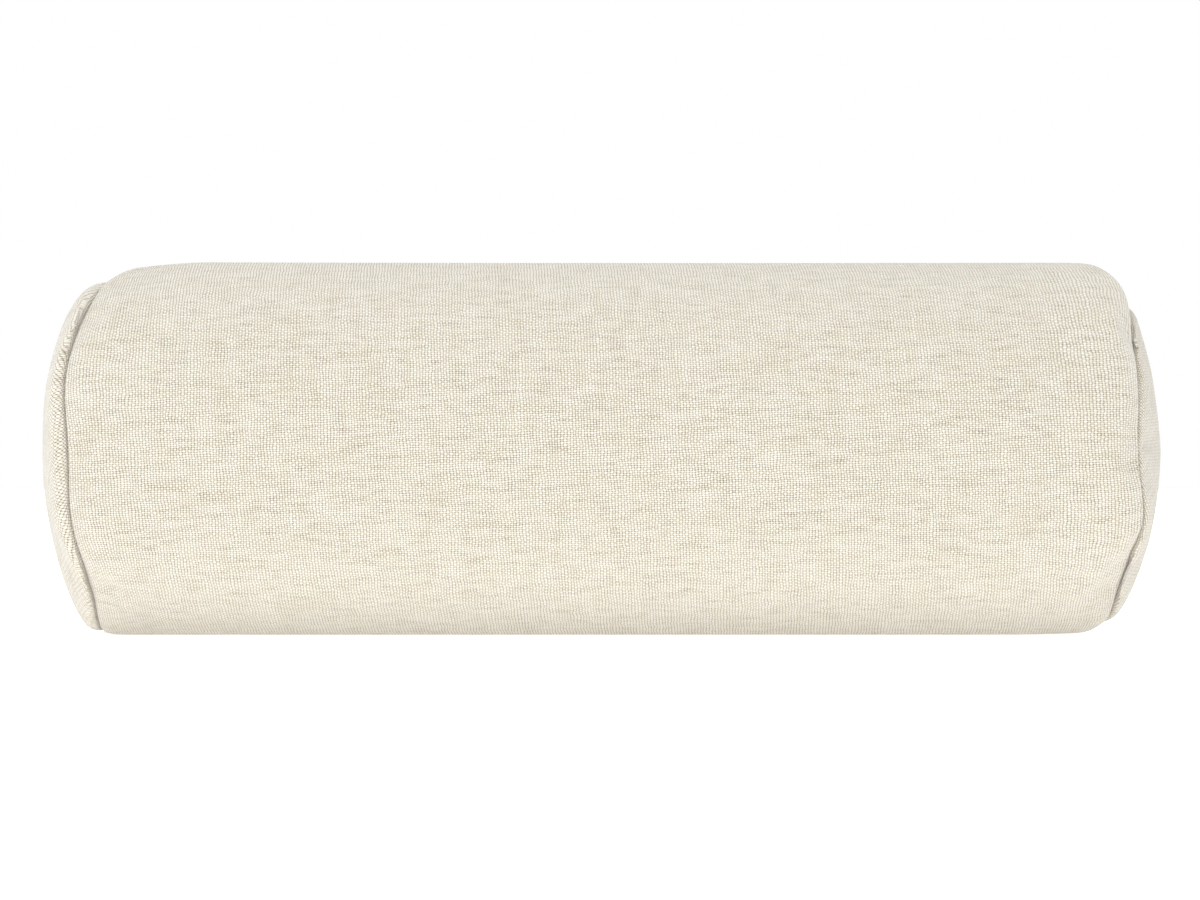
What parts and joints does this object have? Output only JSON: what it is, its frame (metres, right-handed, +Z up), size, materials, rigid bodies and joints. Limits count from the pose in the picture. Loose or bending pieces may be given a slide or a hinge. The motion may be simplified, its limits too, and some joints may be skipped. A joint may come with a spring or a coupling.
{
  "type": "bolster pillow",
  "caption": "Round bolster pillow: a woven tube cover with domed round ends and a zip along its back, over a fibre-filled insert.",
  "frame": {"origin": "on the floor, under the middle of the bolster's length and width", "axes": "+X along the bolster, +Y towards its back where the zip is, +Z up"},
  "size_m": [0.61, 0.2104, 0.203],
  "materials": {
    "cover_linen": "matt slubby plain weave, heathered cream",
    "seam_thread": "matt polyester sewing thread",
    "zip_tape": "flat woven tape",
    "zip_coil": "smooth nylon monofilament",
    "zip_metal": "nickel plated, satin",
    "insert_ticking": "plain white ticking",
    "polyester_fill": "loose white fibre",
    "label_satin": "smooth satin ribbon, blank"
  },
  "bodies": {
    "bolster": {"cover_barrel": "cover_linen", "cover_end_left": "cover_linen", "cover_end_right": "cover_linen", "cover_overlock_left": "seam_thread", "cover_overlock_right": "seam_thread", "zip_tape_upper": "zip_tape", "zip_tape_lower": "zip_tape", "zip_coil_upper": "zip_coil", "zip_coil_lower": "zip_coil", "zip_top_stop_upper": "zip_metal", "zip_top_stop_lower": "zip_metal", "zip_bottom_stop": "zip_metal", "zip_topstitch_upper": "seam_thread", "zip_topstitch_lower": "seam_thread", "bar_tack_left": "seam_thread", "bar_tack_right": "seam_thread", "care_label": "label_satin", "insert_barrel": "insert_ticking", "insert_end_left": "insert_ticking", "insert_end_right": "insert_ticking", "insert_overlock_left": "seam_thread", "insert_overlock_right": "seam_thread", "fibre_filling": "polyester_fill"},
    "slider": {"zip_slider": "zip_metal"},
    "pull": {"zip_pull": "zip_metal"}
  },
  "joints": [
    {"name": "zip_slide", "type": "slide", "parent": "bolster", "child": "slider", "axis": [1, 0, 0], "range_m": [0, 0.4375], "deforming": ["zip_coil_upper", "zip_coil_lower"]},
    {"name": "pull_flip", "type": "hinge", "parent": "slider", "child": "pull", "pos_m": [-0.219, 0.1047, 0.0995], "axis": [0, 0, 1], "range_deg": [0, 180]}
  ]
}
